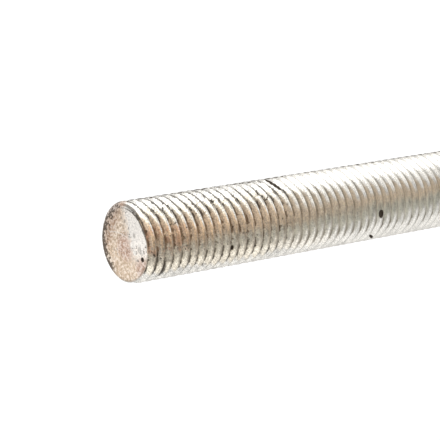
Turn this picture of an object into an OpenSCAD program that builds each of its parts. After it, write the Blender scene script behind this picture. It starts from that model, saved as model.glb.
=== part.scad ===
// Threaded rod: one piece of steel bar with a metric thread rolled over its
// whole length, sawn square at both ends, with the edge of each end broken by
// a small chamfer. Z runs along the axis, and the origin is the centre of the
// foot, so the rod stands on its end.

/* [Rod] */
// Length over the two sawn ends
rod_length = 150; // [60:5:200]
// Width of the chamfer at each end, along the radius
end_chamfer = 0.7; // [0.2:0.1:1.2]
// Angle between the chamfer and the end face
chamfer_angle = 45; // [20:5:60]

/* [Thread] */
// Diameter over the crests
thread_diameter = 16; // [10:0.5:24]
// Distance from one crest to the next along the axis
thread_pitch = 2; // [1.5:0.25:3]
// Angle between the two flanks of the groove
thread_angle = 60; // [50:1:70]
// Width of the flat crest, as a share of the pitch
crest_share = 0.125; // [0.05:0.005:0.2]
// Depth of the groove, as a share of the pitch
depth_share = 0.6134; // [0.5:0.0001:0.65]
// Angle about the axis from which the thread starts at the foot
thread_start = 0; // [0:5:355]
// Hand of the thread
thread_hand = "right"; // [right, left]

/* [Hidden] */

crest_radius = thread_diameter / 2;
groove_depth = depth_share * thread_pitch;
root_radius = crest_radius - groove_depth;
crest_width = crest_share * thread_pitch;
flank_rise = groove_depth * tan(thread_angle / 2);
face_radius = crest_radius - end_chamfer;

// The thread is swept past both ends of the rod and cut back by its blank.
// Its first turn winds up out of a plain foot, a pitch below the rod's own.
sweep_start = -thread_pitch - 0.01;
turns = ceil((rod_length - sweep_start) / thread_pitch) + 1;

// Steps in each turn: as many as keep the whole thread under the limit of
// triangles. Two steps take four triangles for the crest, three for each flank
// and two for the root, whose line moves on only at every second step.
triangle_limit = 11900;
triangles_per_step = 6;
finest_steps = 48;
steps_per_turn = min(finest_steps, 4 * floor(triangle_limit / turns / triangles_per_step / 4));
step_angle = 360 / steps_per_turn;
last_step = turns * steps_per_turn;

// The root's few long chords are set out by half of their sag, so that the
// core keeps its size on average.
root_line_radius = 2 * root_radius / (1 + cos(step_angle));

// A point on the line that runs along the thread at a radius and a height
// above the start of the groove's upper edge, at one step of the sweep.
function line_point(radius, rise, step) = [
    radius * cos(step * step_angle),
    radius * sin(step * step_angle),
    sweep_start + thread_pitch * step / steps_per_turn + rise
];

// Four lines run along the thread: the foot of the lower flank, the two edges
// of the crest, and the foot of the upper flank.
lower_root = [for (i = [0:2:last_step]) line_point(root_line_radius, 0, i)];
lower_crest = [for (i = [0:last_step]) line_point(crest_radius, flank_rise, i)];
upper_crest = [for (i = [0:last_step]) line_point(crest_radius, flank_rise + crest_width, i)];
upper_root = [for (i = [0:2:last_step])
    line_point(root_line_radius, 2 * flank_rise + crest_width, i)];

// Where each line starts in the list of points, and the point of a line at a step.
crest_count = last_step + 1;
root_count = last_step / 2 + 1;
function at_lower_root(i) = i / 2;
function at_upper_root(i) = root_count + i / 2;
function at_lower_crest(i) = 2 * root_count + i;
function at_upper_crest(i) = 2 * root_count + crest_count + i;
foot_centre = 2 * root_count + 2 * crest_count;
top_centre = foot_centre + 1;

// Two triangles over a four-sided patch, whose corners go clockwise seen from outside.
function patch(a, b, c, d) = [[a, b, c], [a, c, d]];

crest_faces = [for (i = [0:last_step - 1])
    each patch(at_lower_crest(i), at_upper_crest(i), at_upper_crest(i + 1), at_lower_crest(i + 1))];

lower_flank_faces = [for (i = [0:2:last_step - 2]) each [
    [at_lower_root(i), at_lower_crest(i), at_lower_crest(i + 1)],
    [at_lower_root(i), at_lower_crest(i + 1), at_lower_root(i + 2)],
    [at_lower_root(i + 2), at_lower_crest(i + 1), at_lower_crest(i + 2)]
]];

upper_flank_faces = [for (i = [0:2:last_step - 2]) each [
    [at_upper_root(i), at_upper_crest(i + 1), at_upper_crest(i)],
    [at_upper_root(i), at_upper_root(i + 2), at_upper_crest(i + 1)],
    [at_upper_root(i + 2), at_upper_crest(i + 2), at_upper_crest(i + 1)]
]];

// The root joins the upper flank of one turn to the lower flank of the next.
root_faces = [for (i = [0:2:last_step - steps_per_turn - 2])
    each patch(at_upper_root(i), at_lower_root(i + steps_per_turn),
               at_lower_root(i + steps_per_turn + 2), at_upper_root(i + 2))];

// The foot fans out from the axis to the first turn and to the step at its end.
foot_faces = [
    for (i = [0:2:steps_per_turn - 2]) [foot_centre, at_lower_root(i), at_lower_root(i + 2)],
    [foot_centre, at_lower_crest(0), at_lower_root(0)],
    [foot_centre, at_upper_crest(0), at_lower_crest(0)],
    [foot_centre, at_upper_root(0), at_upper_crest(0)],
    [foot_centre, at_lower_root(steps_per_turn), at_upper_root(0)]
];

// The top does the same with the last turn.
top_turn = last_step - steps_per_turn;
top_faces = [
    for (i = [top_turn:2:last_step - 2]) [top_centre, at_upper_root(i + 2), at_upper_root(i)],
    [top_centre, at_lower_root(last_step), at_lower_crest(last_step)],
    [top_centre, at_lower_crest(last_step), at_upper_crest(last_step)],
    [top_centre, at_upper_crest(last_step), at_upper_root(last_step)],
    [top_centre, at_upper_root(top_turn), at_lower_root(last_step)]
];

// Endless bar with a right-hand thread, longer than the rod at both ends.
module right_hand_thread() {
    polyhedron(
        points = concat(
            lower_root, upper_root, lower_crest, upper_crest,
            [line_point(0, 0, 0), line_point(0, 2 * flank_rise + crest_width, last_step)]
        ),
        faces = concat(
            crest_faces, lower_flank_faces, upper_flank_faces, root_faces, foot_faces, top_faces
        )
    );
}

// Blank that gives the rod its length, its flat ends and its chamfers. Its
// side stands clear of the crests, so that only the ends are cut.
module blank() {
    side_gap = 1;
    reach = end_chamfer + side_gap;
    rise = reach * tan(chamfer_angle);
    rotate_extrude($fn = 96)
        polygon([
            [0, 0],
            [face_radius, 0],
            [face_radius + reach, rise],
            [face_radius + reach, rod_length - rise],
            [face_radius, rod_length],
            [0, rod_length]
        ]);
}

module rod() {
    color("#c9c2b4")
        intersection() {
            rotate([0, 0, thread_start])
                mirror([0, thread_hand == "left" ? 1 : 0, 0])
                    right_hand_thread();
            blank();
        }
}

rod();
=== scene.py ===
"""Threaded rod: a length of plated steel bar with a rolled metric thread and sawn ends."""

import math

import bpy
from bpy.props import FloatProperty, FloatVectorProperty, IntProperty, PointerProperty
from mathutils import Matrix, Vector, noise


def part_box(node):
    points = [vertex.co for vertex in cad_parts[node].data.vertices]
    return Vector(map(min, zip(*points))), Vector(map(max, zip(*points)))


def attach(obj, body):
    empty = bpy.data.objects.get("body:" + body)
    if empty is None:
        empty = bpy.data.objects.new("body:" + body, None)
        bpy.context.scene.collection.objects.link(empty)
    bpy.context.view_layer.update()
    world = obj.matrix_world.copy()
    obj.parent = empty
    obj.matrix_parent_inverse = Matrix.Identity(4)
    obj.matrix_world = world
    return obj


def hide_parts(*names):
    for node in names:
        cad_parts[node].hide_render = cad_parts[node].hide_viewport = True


bl_info = {
    "name": "Threaded rod",
    "version": (1, 0, 0),
    "blender": (4, 5, 0),
    "location": "3D View > Sidebar > Threaded rod",
    "description": "Builds a plated threaded rod with sawn ends, and the studio it stands in",
    "category": "Add Mesh",
}

MM = 0.001
TURN = 2 * math.pi
WELD = 0.001 * MM  # points closer than this are one point
WHITE = (1, 1, 1)

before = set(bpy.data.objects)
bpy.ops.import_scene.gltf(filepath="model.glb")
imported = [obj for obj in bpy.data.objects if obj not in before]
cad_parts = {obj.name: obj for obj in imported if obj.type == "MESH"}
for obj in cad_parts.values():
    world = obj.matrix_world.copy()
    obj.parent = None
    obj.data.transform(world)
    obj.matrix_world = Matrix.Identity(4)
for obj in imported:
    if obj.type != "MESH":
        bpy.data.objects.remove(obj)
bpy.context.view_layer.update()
ROD_LOW, ROD_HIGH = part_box("rod")
LENGTH = ROD_HIGH.z - ROD_LOW.z
DIAMETER = ROD_HIGH.x - ROD_LOW.x

# Dents in the thread and one in the top end, all in millimetres but the first: the angle
# round the axis in degrees, the distance from the axis, the height above the foot, and
# the half widths along the radius, round the rod and along it.
DENTS = (
    (-113, 7.75, 90.75, 0.50, 0.85, 0.40),
    (-161, 7.75, 90.45, 0.45, 0.42, 0.35),
    (-21, 7.98, 114.96, 0.40, 0.90, 0.34),
    (-29, 7.98, 114.94, 0.50, 0.95, 0.48),
    (-37, 7.98, 114.90, 0.50, 0.95, 0.46),
    (-44, 7.95, 114.86, 0.36, 0.70, 0.32),
    (-127, 6.07, 149.85, 0.50, 0.46, 0.40),
    (-128, 7.05, 128.90, 0.30, 0.50, 0.24),
)

# Strips along the rod where its finish differs: the two angles round the axis between
# which each one lies, and the width over which it fades, all in degrees. -90 faces -Y.
STRIPS = {
    "burred": (-4, 120, 14),
    "shaded": (-172, -133, 14),
    "clotted": (-128, -100, 12),
    "lined": (-88, -54, 14),
    "drier": (-134, -108, 10),
    "cleaner": (-26, 6, 12),
    "clean_flanks": (-66, -46, 8),
    "black_edge": (-80, -4, 12),
    "light_near": (-84, -70, 7),
    "light_far": (-100, -82, 9),
    "dark_front": (-50, -20, 10),
    "dark_back": (-156, -144, 8),
    "dark_flanks": (-112, -101, 7),
}

# Stretches of groove that are caked with dirt: where each starts and ends, counted in
# grooves up the rod, and how thick the cake is.
CAKED_GROOVES = (
    (56.84, 56.88, 0.4),
    (57.87, 57.94, 0.4),
    (72.44, 72.62, 0.6),
)

# Smudges on the top end, in millimetres: the place along X and Y, and the half widths.
SMUDGES = (
    (1.05, -3.55, 0.55, 0.40),
    (-1.90, -4.85, 0.85, 0.32),
    (4.10, -1.15, 0.35, 0.30),
)


# ---------------------------------------------------------------- sizes and colours

class RodSizes(bpy.types.PropertyGroup):
    """Sizes of the rod and of its thread."""

    length: FloatProperty(
        name="Length", description="Length over the two sawn ends",
        default=LENGTH, unit="LENGTH")
    diameter: FloatProperty(
        name="Diameter", description="Diameter over the crests of the thread",
        default=DIAMETER, unit="LENGTH")
    pitch: FloatProperty(
        name="Pitch", description="Distance from one crest to the next",
        default=2 * MM, unit="LENGTH")
    depth_share: FloatProperty(
        name="Groove depth", description="Depth of the groove, as a share of the pitch",
        default=0.6134)
    crest_share: FloatProperty(
        name="Crest width", description="Width of the flat crest, as a share of the pitch",
        default=0.125)
    flank_angle: FloatProperty(
        name="Thread angle", description="Angle between the two flanks of the groove",
        default=math.radians(60), subtype="ANGLE")
    chamfer: FloatProperty(
        name="Chamfer", description="Width of the chamfer round each end",
        default=0.7 * MM, unit="LENGTH")
    steps: IntProperty(
        name="Steps", description="Steps in each turn of the thread",
        default=68)


class RodColours(bpy.types.PropertyGroup):
    """Colours of the rod's metal, stains and dirt, some of which also serve as painted light and
    shade.
    """

    plating: FloatVectorProperty(
        name="Plating", description="Clean plated steel", subtype="COLOR",
        default=(0.62, 0.60, 0.56))
    # This colour also serves as the painted highlight on the crests and flanks.
    rubbed_and_painted_light: FloatVectorProperty(
        name="Rubbed crest", description="Plating rubbed bright along the crests", subtype="COLOR",
        default=(0.78, 0.75, 0.69))
    # This colour also serves as painted dark reflection on the crests along one side of the rod.
    crest: FloatVectorProperty(
        name="Stained crest", description="Dull film along the crests", subtype="COLOR",
        default=(0.26, 0.22, 0.17))
    # This colour also serves as painted reflection: the darker tone of the side that faces -Y.
    tarnish_and_painted_reflection: FloatVectorProperty(
        name="Tarnish", description="Dull grey film along one side of the rod", subtype="COLOR",
        default=(0.47, 0.45, 0.37))
    # This silt also stands in for painted shade on the inner part of the flanks.
    silt_and_painted_light: FloatVectorProperty(
        name="Silt", description="Pale dust in the grooves under the tarnish", subtype="COLOR",
        default=(0.73, 0.66, 0.54))
    dust: FloatVectorProperty(
        name="Dust", description="Grey dust in the grooves past the tarnish", subtype="COLOR",
        default=(0.75, 0.73, 0.63))
    stain: FloatVectorProperty(
        name="Stain", description="Brown film near the top end", subtype="COLOR",
        default=(0.71, 0.51, 0.33))
    rust: FloatVectorProperty(
        name="Rust", description="Thin rust on the last threads", subtype="COLOR",
        default=(0.53, 0.29, 0.17))
    # This colour also serves as painted shade low in the grooves.
    grime_and_painted_shade: FloatVectorProperty(
        name="Grime", description="Thin tan grime in the grooves", subtype="COLOR",
        default=(0.36, 0.32, 0.25))
    # This colour also serves as painted shade and as painted dark reflection.
    dirt_and_painted_shade: FloatVectorProperty(
        name="Dirt", description="Black oily dirt in the grooves and the dents", subtype="COLOR",
        default=(0.065, 0.045, 0.028))
    mud: FloatVectorProperty(
        name="Mud", description="Brown dirt in the grooves under the brown film", subtype="COLOR",
        default=(0.25, 0.15, 0.08))
    sawn: FloatVectorProperty(
        name="Sawn end", description="Dull tan film on the sawn ends", subtype="COLOR",
        default=(0.60, 0.46, 0.33))
    mauve: FloatVectorProperty(
        name="Mauve film", description="Darker patches of the film on the sawn ends",
        subtype="COLOR", default=(0.48, 0.32, 0.24))
    # This colour is partly painted light on the lip and beside it.
    lip: FloatVectorProperty(
        name="Broken lip", description="Bright steel where the saw cut broke off", subtype="COLOR",
        default=(0.78, 0.74, 0.69))


class StageSettings(bpy.types.PropertyGroup):
    """Camera and studio light."""

    lens: FloatProperty(
        name="Lens", description="Focal length of the camera in millimetres",
        default=171.8)
    look_down: FloatProperty(
        name="Look down", description="Angle of the line of sight below the horizon",
        default=math.radians(37.45), subtype="ANGLE")
    roll: FloatProperty(
        name="Roll", description="Turn of the camera about its line of sight",
        default=math.radians(99.64), subtype="ANGLE")
    distance: FloatProperty(
        name="Distance", description="Distance from the camera to the top end",
        default=399.1 * MM, unit="LENGTH")
    floor_size: FloatProperty(
        name="Floor", description="Width of the floor",
        default=6.0, unit="LENGTH")


# ---------------------------------------------------------------- modelling by hand

def pick(piece):
    """Makes a piece the active object and the only one selected."""
    bpy.ops.object.select_all(action="DESELECT")
    bpy.context.view_layer.objects.active = piece
    piece.select_set(True)


def edit(piece):
    """Opens a piece in edit mode with nothing selected."""
    pick(piece)
    bpy.ops.object.mode_set(mode="EDIT")
    bpy.ops.mesh.select_all(action="DESELECT")


def select(piece, kind, wanted):
    """Selects the vertices or the faces of an open piece that pass a test."""
    bpy.ops.mesh.select_mode(type=kind)
    bpy.ops.mesh.select_all(action="DESELECT")
    bpy.ops.object.mode_set(mode="OBJECT")
    parts = piece.data.vertices if kind == "VERT" else piece.data.polygons
    for part in parts:
        part.select = wanted(part)
    bpy.ops.object.mode_set(mode="EDIT")


def select_everything():
    """Selects the whole of the open piece."""
    bpy.ops.mesh.select_all(action="SELECT")


def face_outwards():
    """Turns every face of the open piece outwards."""
    select_everything()
    bpy.ops.mesh.normals_make_consistent(inside=False)


def close(piece):
    """Leaves edit mode."""
    bpy.ops.object.mode_set(mode="OBJECT")
    return piece


def apply_modifier(piece, kind, **settings):
    """Adds a modifier to a piece, sets it and applies it."""
    pick(piece)
    modifier = piece.modifiers.new(kind.title(), kind)
    for name, value in settings.items():
        setattr(modifier, name, value)
    bpy.ops.object.modifier_apply(modifier=modifier.name)


def apply_place(piece):
    """Moves an object's place, turn and scale into its mesh."""
    pick(piece)
    bpy.ops.object.transform_apply(location=True, rotation=True, scale=True)


def cut(piece, cutter, operation):
    """Cuts a piece with another closed one, which is then thrown away."""
    apply_modifier(
        piece, "BOOLEAN", object=cutter, operation=operation, solver="MANIFOLD",
        material_mode="TRANSFER")
    bpy.data.objects.remove(cutter)


# ---------------------------------------------------------------- thread

def thread_profile(sizes):
    """One pitch of the thread's section, from the middle of one root to the middle of the next."""
    crest_radius = sizes.diameter / 2
    depth = sizes.depth_share * sizes.pitch
    root_radius = crest_radius - depth
    rise = depth * math.tan(sizes.flank_angle / 2)
    crest = sizes.crest_share * sizes.pitch
    half_root = (sizes.pitch - crest - 2 * rise) / 2

    # A plane gives one vertex, which is drawn out leg by leg.
    bpy.ops.mesh.primitive_plane_add(size=sizes.pitch)
    profile = bpy.context.object
    edit(profile)
    select(profile, "VERT", lambda v: v.index > 0)
    bpy.ops.mesh.delete(type="VERT")
    close(profile)
    profile.data.vertices[0].co = (root_radius, 0, 0)
    edit(profile)
    select_everything()
    for out, up in ((0, half_root), (depth, rise), (0, crest), (-depth, rise), (0, half_root)):
        bpy.ops.mesh.extrude_region_move(TRANSFORM_OT_translate={"value": (out, 0, up)})

    # The corners of the root and of the crest are rounded until they nearly meet.
    root_bevel = 0.94 * half_root
    crest_bevel = 0.47 * crest
    end_gap = 0.2 * half_root
    select(profile, "VERT", lambda v: v.co.x < root_radius + depth / 2
           and end_gap < v.co.z < sizes.pitch - end_gap)
    bpy.ops.mesh.bevel(offset=root_bevel, segments=2, affect="VERTICES")
    select(profile, "VERT", lambda v: v.co.x > crest_radius - depth / 8)
    bpy.ops.mesh.bevel(offset=crest_bevel, segments=3, affect="VERTICES")
    return close(profile)


def wind_thread(sizes):
    """Winds the profile into a closed screw that is longer than the rod at both ends."""
    rod = thread_profile(sizes)
    spare_turns = 3
    spare_length = 0.2 * sizes.pitch
    turns = math.ceil(sizes.length / sizes.pitch) + spare_turns
    for vertex in rod.data.vertices:
        vertex.co.z -= spare_turns / 2 * sizes.pitch + sizes.pitch / 2
    apply_modifier(
        rod, "SCREW", angle=TURN, screw_offset=sizes.pitch, iterations=turns,
        steps=sizes.steps, render_steps=sizes.steps, use_smooth_shade=True)
    edit(rod)
    select_everything()
    bpy.ops.mesh.remove_doubles(threshold=WELD)
    for height, inwards in ((-spare_length, 1), (sizes.length + spare_length, -1)):
        select_everything()
        bpy.ops.mesh.bisect(
            plane_co=(0, 0, height), plane_no=(0, 0, inwards), use_fill=True,
            clear_inner=True, threshold=WELD)
    face_outwards()
    return close(rod)


def dent_centre(angle, distance, height):
    """The middle of a dent in millimetres, and its turn round the axis in radians."""
    turn = math.radians(angle)
    return (distance * math.cos(turn), distance * math.sin(turn), height), turn


def dent_cutter(angle, distance, height, deep, wide, tall):
    """Rough egg that hollows out one dent."""
    bpy.ops.mesh.primitive_ico_sphere_add(subdivisions=3, radius=1)
    cutter = bpy.context.object
    edit(cutter)
    select_everything()
    bpy.ops.transform.vertex_random(offset=0.12, seed=3)
    close(cutter)
    centre, turn = dent_centre(angle, distance, height)
    cutter.scale = (deep * MM, wide * MM, tall * MM)
    cutter.rotation_euler = (0, 0, turn)
    cutter.location = [part * MM for part in centre]
    apply_place(cutter)
    return cutter


def ripple(x, y, fineness, layer):
    """Smooth noise from -1 to 1 at a place on the sawn face, given in millimetres."""
    return noise.noise((x * fineness, y * fineness, layer))


def sawn_depth(x, y):
    """How far the sawn face lies under the rod's top at a place on it, in millimetres."""
    cut_depth, cut_roughness, lip_roughness = 0.10, 0.07, 0.02
    step_x, step_y, step_slant, step_width = -2.4, -2.2, 0.35, 0.35
    # The saw cut ends at a step, past which the bar broke off and left a raised lip.
    wander = ripple(x, y, 0.9, 0) + 0.5 * ripple(x, y, 2.3, 7)
    past_step = min(step_y - y, step_slant * (x - step_x)) + 0.9 * wander
    lip = min(max(past_step / step_width + 0.5, 0), 1)
    rough = 0.5 + 0.5 * ripple(x, y, 2.6, 3) + 0.35 * ripple(x, y, 6, 5)
    return (1 - lip) * (cut_depth + cut_roughness * rough) + lip * lip_roughness * rough


def saw_block(sizes):
    """Block whose rough underside cuts the top end."""
    cells = 96
    spare_width = 1 * MM
    thickness = 2 * MM
    bpy.ops.mesh.primitive_grid_add(
        x_subdivisions=cells, y_subdivisions=cells, size=sizes.diameter + spare_width,
        location=(0, 0, sizes.length))
    block = bpy.context.object
    apply_place(block)
    for vertex in block.data.vertices:
        vertex.co.z -= sawn_depth(vertex.co.x / MM, vertex.co.y / MM) * MM
    edit(block)
    select_everything()
    bpy.ops.mesh.extrude_region_move(TRANSFORM_OT_translate={"value": (0, 0, thickness)})
    face_outwards()
    return close(block)


def is_end(face):
    """Whether a face lies flat on an end of the rod, and not on its side or a chamfer."""
    return abs(face.normal.z) > 0.9


def end_blank(sizes):
    """Bar with flat ends and chamfers, a little wider than the crests."""
    side_gap = 0.3 * MM
    bpy.ops.mesh.primitive_cylinder_add(
        vertices=2 * sizes.steps, radius=sizes.diameter / 2 + side_gap, depth=sizes.length,
        location=(0, 0, sizes.length / 2))
    blank = bpy.context.object
    apply_place(blank)
    edit(blank)
    select(blank, "FACE", is_end)
    bpy.ops.mesh.bevel(offset=sizes.chamfer + side_gap, offset_type="OFFSET", segments=1)
    return close(blank)


# ---------------------------------------------------------------- shader maths

class Wire:
    """A number in a material, on which Python's operators add Math nodes."""

    def __init__(self, graph, socket):
        self.graph = graph
        self.socket = socket

    def __add__(self, other):
        return self.graph.maths("ADD", self, other)

    def __sub__(self, other):
        return self.graph.maths("SUBTRACT", self, other)

    def __rsub__(self, other):
        return self.graph.maths("SUBTRACT", other, self)

    def __mul__(self, other):
        return self.graph.maths("MULTIPLY", self, other)

    def __truediv__(self, other):
        return self.graph.maths("DIVIDE", self, other)

    __radd__ = __add__
    __rmul__ = __mul__


class Graph:
    """The nodes of one material or of the world."""

    def __init__(self, owner):
        self.owner = owner
        owner.use_nodes = True
        self.tree = owner.node_tree
        self.tree.nodes.clear()

    def node(self, kind, settings=None, **inputs):
        """Adds a node, makes its settings and then fills its sockets by name, or i and number."""
        node = self.tree.nodes.new("ShaderNode" + kind)
        for name, value in (settings or {}).items():
            setattr(node, name, value)
        for name, value in inputs.items():
            key = int(name[1:]) if name[1:].isdigit() else name.replace("_", " ")
            self.fill(node.inputs[key], value)
        return node

    def fill(self, socket, value):
        """Links a wire or a socket, or writes a plain value."""
        if isinstance(value, Wire):
            value = value.socket
        if isinstance(value, bpy.types.NodeSocket):
            self.tree.links.new(value, socket)
        elif hasattr(value, "__len__") and socket.type == "RGBA" and len(value) == 3:
            socket.default_value = (*value, 1)
        else:
            socket.default_value = value

    def wire(self, socket):
        """A node's output as a number to reckon with."""
        return Wire(self, socket)

    def maths(self, operation, a, b=0.0):
        """One Math node on two numbers, or on the first alone where it takes only one."""
        return self.wire(self.node("Math", {"operation": operation}, i0=a, i1=b).outputs[0])

    def most(self, first, *others):
        """The largest of several numbers."""
        for other in others:
            first = self.maths("MAXIMUM", first, other)
        return first

    def reach(self, x, y):
        """Distance from a centre, of a place that lies x and y away from it."""
        return self.maths("SQRT", x * x + y * y)

    def step(self, value, low, high):
        """0 below low, 1 above high, and a smooth step between; low may be above high."""
        node = self.node(
            "MapRange", {"interpolation_type": "SMOOTHSTEP"},
            Value=value, From_Min=low, From_Max=high)
        return self.wire(node.outputs[0])

    def window(self, value, low, high, blur):
        """1 between low and high, and 0 outside them."""
        return self.step(value, low - blur, low) * self.step(value, high + blur, high)

    def vector(self, x, y, z):
        """Three numbers joined into one vector."""
        return self.node("CombineXYZ", X=x, Y=y, Z=z).outputs[0]

    def noise(self, place, scale, detail=2.0, roughness=0.5):
        """Cloudy noise from 0 to 1, with 0.5 in the middle."""
        node = self.node(
            "TexNoise", {"noise_dimensions": "3D"},
            Vector=place, Scale=scale, Detail=detail, Roughness=roughness)
        return self.wire(node.outputs[0])

    def mix(self, share, first, second):
        """Colour that goes from the first to the second as the share goes from 0 to 1."""
        node = self.node("Mix", {"data_type": "RGBA"}, i0=share, i6=first, i7=second)
        return node.outputs[2]

    def coats(self, colour, *coats):
        """Colour under coats laid one over the other, each given as its share and its colour."""
        for share, coat in coats:
            colour = self.mix(share, colour, coat)
        return colour

    def shade(self, colour, factor):
        """Colour made lighter or darker by a factor."""
        return self.node("VectorMath", {"operation": "SCALE"}, i0=colour, Scale=factor).outputs[0]

    def inside(self, place, dent):
        """1 inside a dent and 0 a little outside it."""
        centre, turn = dent_centre(*dent[:3])
        egg = self.node(
            "Mapping", {"vector_type": "TEXTURE"},
            Vector=place, Location=centre, Rotation=(0, 0, turn), Scale=dent[3:])
        reach = self.node("VectorMath", {"operation": "LENGTH"}, i0=egg.outputs[0])
        return self.step(self.wire(reach.outputs["Value"]), 1.25, 1.0)

    def bump(self, strength, distance, height):
        """A bumped normal, from a height and the distance that it stands for in millimetres."""
        node = self.node("Bump", Strength=strength, Distance=distance * MM, Height=height)
        return node.outputs[0]

    def finish(self, **inputs):
        """Ends a material in one Principled surface, and gives the material back."""
        surface = self.node("BsdfPrincipled", **inputs)
        self.node("OutputMaterial", Surface=surface.outputs[0])
        return self.owner


def object_place(graph):
    """The object's own coordinates, in millimetres, as a vector and as three numbers."""
    metres = graph.node("TexCoord").outputs["Object"]
    scaled = graph.node("VectorMath", {"operation": "SCALE"}, i0=metres, Scale=1 / MM).outputs[0]
    parts = graph.node("SeparateXYZ", Vector=scaled)
    return scaled, *(graph.wire(parts.outputs[axis]) for axis in "XYZ")


# ---------------------------------------------------------------- finish of the thread

class ThreadPlace:
    """Where a point lies on the thread, and the noises that break up the finish there.

    z is the height above the foot in millimetres, and side the angle round the axis in
    degrees, which is -90 where the rod faces -Y. height goes from 0 at the root of the
    thread to 1 at its crest. groove is the number of the groove, counted up the rod.
    """

    def __init__(self, graph, sizes):
        self.graph = graph
        self.top = sizes.length / MM
        self.place, x, y, self.z = object_place(graph)
        pitch = sizes.pitch / MM
        depth = sizes.depth_share * pitch
        root_radius = sizes.diameter / 2 / MM - depth
        around = graph.maths("ARCTAN2", y, x) / TURN
        wound = self.z / pitch - around
        self.side = around * 360
        self.height = (graph.reach(x, y) - root_radius) / depth
        self.groove = graph.maths("FLOOR", wound + 0.5) + around

        # The mottle and the scratches follow the thread as it winds up the rod.
        along = graph.maths("FLOOR", wound) + around
        across = graph.maths("FRACT", wound)
        winding = graph.vector(along * 12.0, across * 5.0, self.height * 2.0)
        streak = graph.vector(along * 3.0, across * 9.0, self.height * 7.0)
        self.mottle = graph.noise(winding, 0.9, 4.0, 0.6)
        self.scratch = graph.noise(streak, 1.0, 2.0, 0.5)
        self.lumps = graph.noise(self.place, 0.9, 3.0, 0.65)
        self.grain = graph.step(graph.noise(self.place, 3.0, 3.0, 0.7), 0.3, 0.7)

        # The finish changes slowly towards the top end, and sharply where its dirty end
        # begins. The film's edges wander round the rod, and the end's edge has a burr.
        self.near_end = self.towards_top(75, 5)
        self.far_end = 1 - self.near_end
        self.dirty_end = self.towards_top(40, 33)
        self.worked = self.near_end * (1 - self.dirty_end)
        self.wander = self.side + (graph.noise(self.place, 0.16, 3.0, 0.55) - 0.5) * 30
        self.shaded = self.strip("shaded")
        self.burr = self.towards_top(1.3, 0.8) * self.strip("burred")

    def towards_top(self, far, near):
        """0 further than far below the top end and 1 nearer to it than near, in millimetres."""
        return self.graph.step(self.z, self.top - far, self.top - near)

    def strip(self, name):
        """1 on one of the strips along the rod, and 0 beside it."""
        return self.graph.window(self.side, *STRIPS[name])


def lay_film_and_painted_light(graph, at, colours):
    """The plating under its film, partly painted reflection, and under its silt, partly painted
    shade: its colour, and the share of each of the two.
    """
    # A film lies along the side that faces -Y: grey, and brown towards the top end. On that side it
    # is partly painted reflection, the darker tone that side shows.
    film_and_painted_reflection = graph.step(at.wander, -121, -109) * graph.step(at.wander - at.dirty_end * 8, -75, -88)
    shady = graph.step(at.wander, -96, -112) * (1 - at.near_end * 0.45)
    tanned = graph.most(at.near_end, graph.step(at.wander, -104, -88) * 0.5) * (1 - shady)
    film_and_painted_reflection_colour = graph.mix(tanned, colours.tarnish_and_painted_reflection, colours.stain)

    # It thickens to a dull silt deep in the grooves, and to grey dust at its shady edge. The silt's
    # edge slants across each flank, so that it is also painted shade on the inner part of each
    # flank, under the turn above.
    late = at.wander + at.far_end * at.far_end * 7 + (at.height - 0.4) * 14 - at.worked * 6
    silt_and_painted_light = graph.step(at.wander, -142, -114) * graph.step(late, -52, -68)
    silt_and_painted_light = silt_and_painted_light * graph.step(at.height + (at.mottle - 0.5) * 0.3, 0.80, 0.50)
    silt_and_painted_light_colour = graph.mix(tanned * 0.6, colours.silt_and_painted_light, colours.stain)
    silt_and_painted_light_colour = graph.mix(shady, silt_and_painted_light_colour, colours.dust)

    # The plating is also paler and creamier in strips on both sides of the film, on the upper third
    # of the rod.
    fringe = graph.window(at.wander, -86, -50, 12) + graph.window(at.wander, -146, -118, 10)
    fringe = fringe * at.towards_top(55, 20)
    colour = graph.coats(
        colours.plating, (fringe * 0.8, colours.silt_and_painted_light), (film_and_painted_reflection, film_and_painted_reflection_colour), (silt_and_painted_light, silt_and_painted_light_colour))
    return colour, film_and_painted_reflection, silt_and_painted_light


def groove_dirt_and_painted_shade(graph, at, film_and_painted_reflection, colours):
    """The dirt in the grooves, black on the last ones, and tan painted shade low in the grooves on
    the shaded and lined strips: its share and its colour.
    """
    caked = sum(
        graph.window(at.groove, start, end, 0.02) * share for start, end, share in CAKED_GROOVES)

    # How high the dirt and painted shade fill the groove, as a share of its depth. The painted
    # shade lies on the shaded and lined strips, and the shaded strip holds the most; the caked
    # stretches and the dirty end hold real dirt, and the cleaner strip and the last turn hold the
    # least.
    clotted = at.strip("clotted") * at.towards_top(14, 6)
    lined = at.strip("lined") * (0.04 + at.near_end * 0.01 + at.worked * 0.2)
    cleaner = at.strip("drier") * at.dirty_end * 0.08 + at.strip("cleaner") * 0.25
    cleaner = cleaner + at.towards_top(2.4, 1.2) * 0.15
    level = 0.04 + at.dirty_end * 0.05 + at.shaded * (0.26 - at.dirty_end * 0.08)
    level = level + caked * 0.35 + clotted * 0.06 + lined - cleaner
    unevenness = (0.4 + at.dirty_end * (1 - at.shaded * 0.6)) * (1 - caked * 0.7)
    level = level + (at.lumps - 0.5) * unevenness
    dirt_and_painted_shade = graph.step(at.height + (at.mottle - 0.5) * 0.35 - level, 0.16, -0.10)

    dirt_and_painted_shade_colour = graph.mix(at.dirty_end * 0.85 + caked, colours.grime_and_painted_shade, colours.dirt_and_painted_shade)
    muddy = film_and_painted_reflection * at.near_end * (0.8 - caked * 0.6)
    return dirt_and_painted_shade, graph.mix(muddy, dirt_and_painted_shade_colour, colours.mud)


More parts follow.
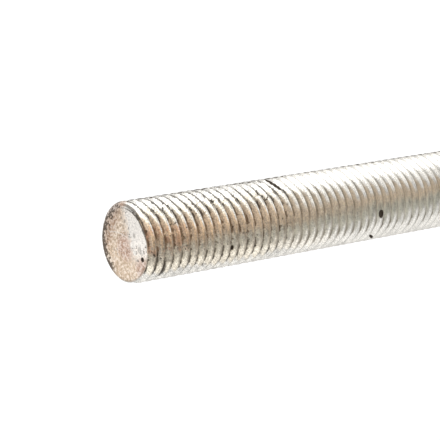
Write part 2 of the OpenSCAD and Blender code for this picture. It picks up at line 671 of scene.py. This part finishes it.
def speck_share(graph, at):
    """Share of black specks, of crumbs near the top end and on its burr, and of the dents."""
    specks = graph.step(graph.noise(at.place, 1.9, 1.0), 0.74, 0.79)
    specks = specks * (0.25 + at.near_end * 0.75)
    crumbs = graph.step(at.lumps + at.grain * 0.12, 0.70, 0.76)
    crumbs = crumbs * at.dirty_end * (1 - at.shaded * 0.8)
    burr_crumbs = graph.step(at.lumps + at.grain * 0.2, 0.58, 0.68) * at.burr
    dents = (graph.inside(at.place, dent) for dent in DENTS)
    return graph.most(specks, crumbs, burr_crumbs, *dents)


def wear_and_painted_highlight_share(graph, at, crest):
    """Share that is bright: crests rubbed bright on one strip round the rod, partly wear and partly
    painted highlight, and a painted highlight on the flanks further from the top end.
    """
    # Painted highlight in part: the crests are bright along this strip.
    rubbed_and_painted_light = graph.window(at.side, -72 - at.near_end * 8, -14 - at.dirty_end * 46, 10)
    # Painted highlight on the outer part of the flanks.
    painted_flank_highlight = at.strip("clean_flanks") * graph.step(at.height, 0.40, 0.65) * at.far_end
    return graph.most(crest * rubbed_and_painted_light, painted_flank_highlight * 0.8)


def stain_and_painted_reflection_share(graph, at, crest):
    """Share that is stained: crests along the film's shady edge, partly as painted dark reflection,
    and smears near the top end.
    """
    # Painted dark reflection in part: the crests are darker along this strip.
    stained_and_painted_reflection = graph.window(at.side, -112 - at.worked * 50 - at.dirty_end * 14, -98, 14)
    stained_and_painted_reflection = stained_and_painted_reflection * (0.35 + at.near_end * 0.5)
    smeared = graph.window(at.side + (at.mottle - 0.5) * 20, -128, -110, 8) * at.dirty_end
    smeared = smeared * graph.step(at.height + (at.lumps - 0.5) * 0.6, 0.60, 0.80)
    return graph.most(crest * stained_and_painted_reflection, smeared * 0.6)


def oil_and_painted_reflection_share(graph, at):
    """Share that is dark: ragged patches of oil on the crests near the top end, a painted dark
    reflection along the crests that face +X, and a line just under the end's edge.
    """
    # The patches are narrower further than 26 mm from the end.
    wiped = at.towards_top(14, 26) * 22
    ragged = at.side + (at.mottle - 0.5) * 36
    patches = graph.window(ragged, -54, -16 - wiped, 10) * at.dirty_end * 0.7
    # Painted dark reflection: a line along the crests that face +X.
    painted_dark_reflection = graph.window(at.side + at.mottle * 8, -3 - at.dirty_end * 8, 5, 5)
    on_crests = graph.step(at.height + (at.lumps - 0.5) * 0.7, 0.86, 0.95)
    edge = graph.window(at.z + (at.mottle - 0.5) * 0.15, at.top - 0.60, at.top - 0.43, 0.09)
    edge = edge * at.strip("black_edge")
    return graph.most(graph.most(patches, painted_dark_reflection) * on_crests, edge * 0.8)


def rust_share(graph, at, film_and_painted_reflection):
    """Share of rust: patches in the film on the last threads, and a thin coat on the burr."""
    patches = graph.step(graph.noise(at.place, 0.55, 3.0, 0.7), 0.45, 0.62)
    return graph.most(patches * film_and_painted_reflection * at.towards_top(14, 5), at.burr * 0.55)


def light_and_dark(graph, at):
    """Factor that makes the finish lighter or darker from place to place, with painted light and
    shade on two strips: lighter roots and darker crests on one, and darker flanks on the other.
    """
    factor = 1.0 + (at.grain - 0.5) * (0.3 + at.near_end * 0.4)
    factor = factor + (at.mottle - 0.5) * 0.7 + (at.scratch - 0.5) * 0.4
    lighter = at.strip("light_near") * at.near_end * 0.12
    # Painted light and shade: lighter roots and darker crests on this strip.
    lighter = lighter + at.strip("light_far") * at.far_end * (0.42 - at.height) * 0.36
    darker = at.strip("dark_front") * 0.18 + at.strip("dark_back") * 0.14
    # Painted shade: darker flanks on this strip.
    painted_flank_shade = graph.window(at.height, 0.50, 0.75, 0.2) * (0.2 - at.near_end * 0.12) + 0.02
    return factor + lighter - darker * at.dirty_end - painted_flank_shade * at.strip("dark_flanks")


def plated_steel(sizes, colours):
    """Plated steel, rubbed bright on the crests, filmed on one side and dirty in the grooves, with
    painted highlights, reflections and shade laid among these.
    """
    graph = Graph(bpy.data.materials.new("plated_steel"))
    at = ThreadPlace(graph, sizes)
    crest = graph.step(at.height, 0.88, 0.97)
    colour, film_and_painted_reflection, silt_and_painted_light = lay_film_and_painted_light(graph, at, colours)
    oil_and_painted_reflection = oil_and_painted_reflection_share(graph, at)
    dirt_and_painted_shade, dirt_and_painted_shade_colour = groove_dirt_and_painted_shade(graph, at, film_and_painted_reflection, colours)
    specks = speck_share(graph, at)
    colour = graph.coats(
        colour,
        (wear_and_painted_highlight_share(graph, at, crest), colours.rubbed_and_painted_light),
        (stain_and_painted_reflection_share(graph, at, crest), colours.crest),
        (oil_and_painted_reflection * 0.92, colours.dirt_and_painted_shade),
        (rust_share(graph, at, film_and_painted_reflection) * 0.7, colours.rust),
        (dirt_and_painted_shade * 0.9, dirt_and_painted_shade_colour),
        (specks, colours.dirt_and_painted_shade))

    darkened = graph.most(dirt_and_painted_shade, specks, oil_and_painted_reflection * 0.7)
    dull = graph.most(darkened * 0.85, silt_and_painted_light * 0.95)
    relief = at.scratch * 0.5 + at.grain * 0.3 + at.mottle * 0.4 - darkened * 0.5
    return graph.finish(
        Base_Color=graph.shade(colour, light_and_dark(graph, at)),
        Metallic=1 - graph.most(dull, film_and_painted_reflection * 0.2),
        Roughness=0.13 + at.mottle * 0.12 + dull * 0.6 + crest * 0.1,
        Normal=graph.bump(0.35, 0.055, relief))


# ---------------------------------------------------------------- finish of the ends

class EndPlace:
    """Where a point lies on a sawn end, and the noises that break up the finish there.

    All are in millimetres: edge is the radius at which the chamfer starts, and swing the
    distance from the point round which the saw swung, so that its marks lie in arcs. Only
    the noises and lip, which is 1 on the lip that the saw left, go from 0 to 1.
    """

    def __init__(self, graph, sizes):
        self.place, self.x, self.y, self.z = object_place(graph)
        self.top = sizes.length / MM
        self.edge = sizes.diameter / 2 / MM - sizes.chamfer / MM
        self.radius = graph.reach(self.x, self.y)
        self.blotch = graph.noise(self.place, 0.4, 3.0, 0.6)
        self.flecks = graph.noise(self.place, 1.6, 3.0, 0.7)
        self.grain = graph.noise(self.place, 2.8, 3.0, 0.7)
        self.swing = graph.reach(self.x + 6.6, self.y - 4.3)
        self.saw = graph.noise(graph.vector(self.swing * 4.0, 0.0, 0.0), 1.0, 3.0)
        self.lip = graph.step(self.z, self.top - 0.10, self.top - 0.05)


def end_dark_marks(graph, at):
    """Dark marks on a sawn end: dirt in its pores and on its burred edge, a dark line along the
    foot of its lip, and a broken dark ring round its edge.
    """
    pores = graph.step(at.flecks + at.grain * 0.5, 0.80, 0.95) * (1 - at.lip * 0.8)
    lip_foot = graph.window(at.z, at.top - 0.10, at.top - 0.03, 0.02)
    lip_foot = lip_foot * graph.step(at.flecks, 0.45, 0.6)
    burr = graph.step(at.radius + (at.flecks - 0.5) * 7.0, at.edge - 1.4, at.edge - 0.6)
    burr = burr * graph.step(at.x * 0.4 + at.y, 1.5, 4.5)
    notched = graph.step(at.x - at.y, 6.0, 8.5) * 0.4
    rim = at.radius + (at.flecks - 0.5) * 0.8 + notched
    rim = graph.step(rim, at.edge - 0.30, at.edge - 0.10)
    rim = rim * (0.4 + graph.step(at.x, -3.0, 1.0) * 0.6)
    rim = rim * graph.step(at.flecks + at.blotch, 0.72, 0.90)
    return graph.most(pores * 0.5, lip_foot, burr, rim)


def end_pale_and_painted_light(graph, at):
    """Share of a sawn end that is pale: beside the lip, where it is partly rubbed and partly
    painted light, in worn spots and along one scored arc.
    """
    rubbed_and_painted_light = at.x * 0.1 - at.y + (at.blotch - 0.5) * 3.0 + (at.flecks - 0.5) * 2.0
    rubbed_and_painted_light = graph.step(rubbed_and_painted_light, 0.2, 3.0)
    rubbed_and_painted_light = rubbed_and_painted_light * graph.step(at.x + (at.blotch - 0.5) * 3.0, -5.2, -2.6)
    worn = graph.step(at.flecks - at.grain * 0.3, 0.42, 0.22)
    scored = graph.window(at.swing, 9.14, 9.24, 0.12) * graph.window(at.y, -1.6, 4.0, 0.8)
    return graph.most(rubbed_and_painted_light, worn * 0.6, scored * 0.8)


def end_mauve(graph, at):
    """Share of a sawn end that has a mauve film: its middle, and a patch at its edge."""
    middle = graph.reach(at.x + 0.8, at.y) + (at.flecks - 0.5) * 3.0
    patch = graph.reach(at.x + 5.2, at.y + 4.3) + (at.flecks - 0.5) * 3.0
    return graph.most(graph.step(middle, 3.4, 1.8), graph.step(patch, 2.6, 1.2))


def end_smudges(graph, at, pale, rusty):
    """Share of a sawn end that is dark with smudges, all over it and in a few places."""
    smudged = graph.step(at.grain + at.blotch * 0.3, 0.58, 0.44) * (0.6 - pale * 0.3)
    smudged = smudged + rusty * 0.25
    for x, y, half_x, half_y in SMUDGES:
        reach = graph.reach((at.x - x) / half_x, (at.y - y) / half_y)
        reach = reach + (at.flecks - 0.5) * 2.0
        smudged = graph.most(smudged, graph.step(reach, 1.3, 0.6) * 0.45)
    return smudged


def sawn_steel(sizes, colours):
    """Bare sawn steel, mottled with a pinkish film, bright on the broken lip and beside it, partly
    as painted light.
    """
    graph = Graph(bpy.data.materials.new("sawn_steel"))
    at = EndPlace(graph, sizes)
    darkened = end_dark_marks(graph, at)
    pale = end_pale_and_painted_light(graph, at)
    rusty = graph.step(at.x * 0.9 + at.y + (at.blotch - 0.5) * 5.0, 4.2, 6.6)
    smudged = end_smudges(graph, at, pale, rusty)
    colour = graph.coats(
        colours.sawn,
        (end_mauve(graph, at), colours.mauve),
        (rusty * 0.5, colours.rust),
        # Painted light in part: the lip and the pale part beside it are bright as if they caught
        # the light.
        (graph.most(at.lip, pale * 0.9), colours.lip),
        (graph.most(darkened * 0.95, smudged), colours.dirt_and_painted_shade))

    # The flecks show most on the rough half of the face, which is also a little darker.
    rough_half = graph.step(at.x + (at.blotch - 0.5) * 3.0, -0.5, 2.0) * (1 - pale)
    factor = 0.40 + (at.grain + at.saw * 0.3) * 1.05 - graph.step(at.x, -1.0, 2.5) * 0.13
    factor = factor - (at.flecks - 0.5) * (0.4 + rough_half * 1.2)
    relief = (at.saw * 0.6 + at.grain * 0.8 + at.flecks) * (1 - at.lip * 0.7)
    return graph.finish(
        Base_Color=graph.shade(colour, factor), Metallic=0.5 - darkened * 0.4,
        Roughness=0.5 - at.lip * 0.1 + at.grain * 0.15, Normal=graph.bump(0.6, 0.08, relief))


def turned_steel(sizes, colours):
    """Chamfer turned bright on the lathe, with fine lines round it and a brown film on the side
    that faces -Y, which is partly painted reflection.
    """
    graph = Graph(bpy.data.materials.new("turned_steel"))
    place, x, y, _ = object_place(graph)
    crest_radius = sizes.diameter / 2 / MM
    radius = graph.reach(x, y)
    lines = graph.noise(graph.vector(radius * 6.0, 0.0, 0.0), 1.0, 1.0)
    blotch = graph.noise(place, 0.7, 3.0, 0.6)
    front = y * -1 / radius
    film_and_painted_reflection = graph.step(front + blotch * 0.6, 0.6, 1.3)
    rim = graph.step(radius + (blotch - 0.5) * 0.4, crest_radius - 0.22, crest_radius - 0.06)
    colour = graph.coats(colours.plating, (film_and_painted_reflection, colours.stain), (rim * 0.4, colours.dirt_and_painted_shade))
    return graph.finish(
        Base_Color=graph.shade(colour, 0.40 + film_and_painted_reflection * 0.3 + lines * 0.8),
        Metallic=1 - film_and_painted_reflection * 0.45, Roughness=0.42 + film_and_painted_reflection * 0.1,
        Normal=graph.bump(0.4, 0.04, lines + blotch * 0.5))


# ---------------------------------------------------------------- stage

def seen_directly(graph):
    """1 for a ray from the camera, a mirror-like surface or glass, and 0 for the light itself."""
    path = graph.node("LightPath").outputs
    return graph.most(path["Is Camera Ray"], path["Is Glossy Ray"], path["Is Transmission Ray"])


def add_floor(settings):
    """Pale floor, with a little glow that only the camera and reflections see."""
    bpy.ops.mesh.primitive_plane_add(size=settings.floor_size)
    floor = bpy.context.object
    floor.name = "floor"
    graph = Graph(bpy.data.materials.new("pale_floor"))
    paint = graph.node("BsdfDiffuse", Color=(0.85, 0.85, 0.85))
    glow = graph.node("Emission", Color=WHITE, Strength=seen_directly(graph) * 0.25)
    both = graph.node("AddShader", i0=paint.outputs[0], i1=glow.outputs[0])
    graph.node("OutputMaterial", Surface=both.outputs[0])
    floor.data.materials.append(graph.owner)


def add_lamps():
    """A large soft lamp high on one side and a weaker one on the other.

    Each has its place and size in metres and its power in watts, and points at the rod.
    """
    target = Vector((0, 0, 0.1))
    for name, place, size, watts in (
        ("key_lamp", (0.55, 0.31, 0.87), 0.95, 4.7),
        ("fill_lamp", (-0.62, 0.42, 0.76), 1.0, 1.15),
    ):
        bpy.ops.object.light_add(type="AREA", location=place)
        lamp = bpy.context.object
        lamp.name = name
        lamp.data.size = size
        lamp.data.energy = watts
        lamp.rotation_euler = (target - Vector(place)).to_track_quat("-Z", "Y").to_euler()


def add_sky(scene):
    """Sky that is white to the camera, and pale to the rest with a warm dark overhead."""
    room_pale = (0.68, 0.68, 0.68)
    room_dark = (0.44, 0.43, 0.41)
    overhead = (-0.22, -0.05, 0.974)
    scene.world = bpy.data.worlds.new("studio")
    graph = Graph(scene.world)
    direction = graph.node("TexCoord").outputs["Generated"]
    cosine = graph.node("VectorMath", {"operation": "DOT_PRODUCT"}, i0=direction, i1=overhead)
    dark = graph.step(graph.wire(cosine.outputs["Value"]), 0.93, 0.985)
    camera_ray = graph.node("LightPath").outputs["Is Camera Ray"]
    pale = graph.mix(seen_directly(graph), room_pale, WHITE)
    colour = graph.coats(pale, (dark, room_dark), (camera_ray, WHITE))
    sky = graph.node("Background", Color=colour, Strength=1.0)
    graph.node("OutputWorld", Surface=sky.outputs[0])


def add_camera(scene, settings):
    """The camera looks down on the top end, rolled so that the rod lies across its view."""
    bpy.ops.object.camera_add()
    camera = bpy.context.object
    camera.name = "camera"
    turn = Matrix.Rotation(math.pi / 2 - settings.look_down, 3, "X") @ Matrix.Rotation(
        -settings.roll, 3, "Z")
    end = Vector((0, 0, LENGTH))
    # The end's centre lies left of the line of sight and a little below it.
    end_in_view = Vector((-18.2 * MM, -4.4 * MM, -settings.distance))
    camera.matrix_world = Matrix.Translation(end - turn @ end_in_view) @ turn.to_4x4()
    # The lens and the sensor are in millimetres, and the range that is seen in metres.
    camera.data.lens = settings.lens
    camera.data.sensor_width = 36
    camera.data.clip_start = 0.01
    camera.data.clip_end = 50
    scene.camera = camera


# ---------------------------------------------------------------- operators and panel

class MESH_OT_threaded_rod(bpy.types.Operator):
    """Adds the rod with its thread and sawn ends"""

    bl_idname = "mesh.threaded_rod_add"
    bl_label = "Threaded rod"

    def execute(self, context):
        sizes = context.scene.rod_sizes
        colours = context.scene.rod_colours
        plated = plated_steel(sizes, colours)
        sawn = sawn_steel(sizes, colours)
        turned = turned_steel(sizes, colours)

        rod = wind_thread(sizes)
        rod.name = "threaded_rod"
        rod.data.materials.append(plated)
        for dent in DENTS:
            dent_tool = dent_cutter(*dent)
            dent_tool.data.materials.append(plated)
            cut(rod, dent_tool, "DIFFERENCE")
        blank = end_blank(sizes)
        blank.data.materials.append(sawn)
        blank.data.materials.append(turned)
        for face in blank.data.polygons:
            face.material_index = 0 if is_end(face) else 1
        cut(rod, blank, "INTERSECT")
        saw = saw_block(sizes)
        saw.data.materials.append(sawn)
        cut(rod, saw, "DIFFERENCE")
        edit(rod)
        face_outwards()
        close(rod)
        bpy.ops.object.shade_smooth_by_angle(angle=math.radians(28))
        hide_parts("rod")
        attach(rod, "root")
        return {"FINISHED"}


class SCENE_OT_rod_stage(bpy.types.Operator):
    """Adds the floor, the soft lamps, the sky and the camera"""

    bl_idname = "scene.rod_stage_add"
    bl_label = "Studio"

    def execute(self, context):
        settings = context.scene.rod_stage
        add_floor(settings)
        add_lamps()
        add_sky(context.scene)
        add_camera(context.scene, settings)
        context.scene.view_settings.view_transform = "Standard"
        return {"FINISHED"}


class VIEW3D_PT_threaded_rod(bpy.types.Panel):
    """Lists the rod and the studio with their sizes"""

    bl_idname = "VIEW3D_PT_threaded_rod"
    bl_label = "Threaded rod"
    bl_space_type = "VIEW_3D"
    bl_region_type = "UI"
    bl_category = "Threaded rod"

    def draw(self, context):
        layout = self.layout
        for title, group, operator in (
            ("Rod", context.scene.rod_sizes, "mesh.threaded_rod_add"),
            ("Colours", context.scene.rod_colours, None),
            ("Studio", context.scene.rod_stage, "scene.rod_stage_add"),
        ):
            box = layout.box()
            box.label(text=title)
            for name in group.__annotations__:
                box.prop(group, name)
            if operator:
                box.operator(operator)


CLASSES = (
    RodSizes, RodColours, StageSettings,
    MESH_OT_threaded_rod, SCENE_OT_rod_stage, VIEW3D_PT_threaded_rod,
)


def register():
    for cls in CLASSES:
        bpy.utils.register_class(cls)
    bpy.types.Scene.rod_sizes = PointerProperty(type=RodSizes)
    bpy.types.Scene.rod_colours = PointerProperty(type=RodColours)
    bpy.types.Scene.rod_stage = PointerProperty(type=StageSettings)


def unregister():
    del bpy.types.Scene.rod_stage
    del bpy.types.Scene.rod_colours
    del bpy.types.Scene.rod_sizes
    for cls in reversed(CLASSES):
        bpy.utils.unregister_class(cls)


def main():
    """Adds the rod and the studio."""
    register()
    bpy.ops.mesh.threaded_rod_add()
    bpy.ops.scene.rod_stage_add()


if __name__ == "__main__":
    main()
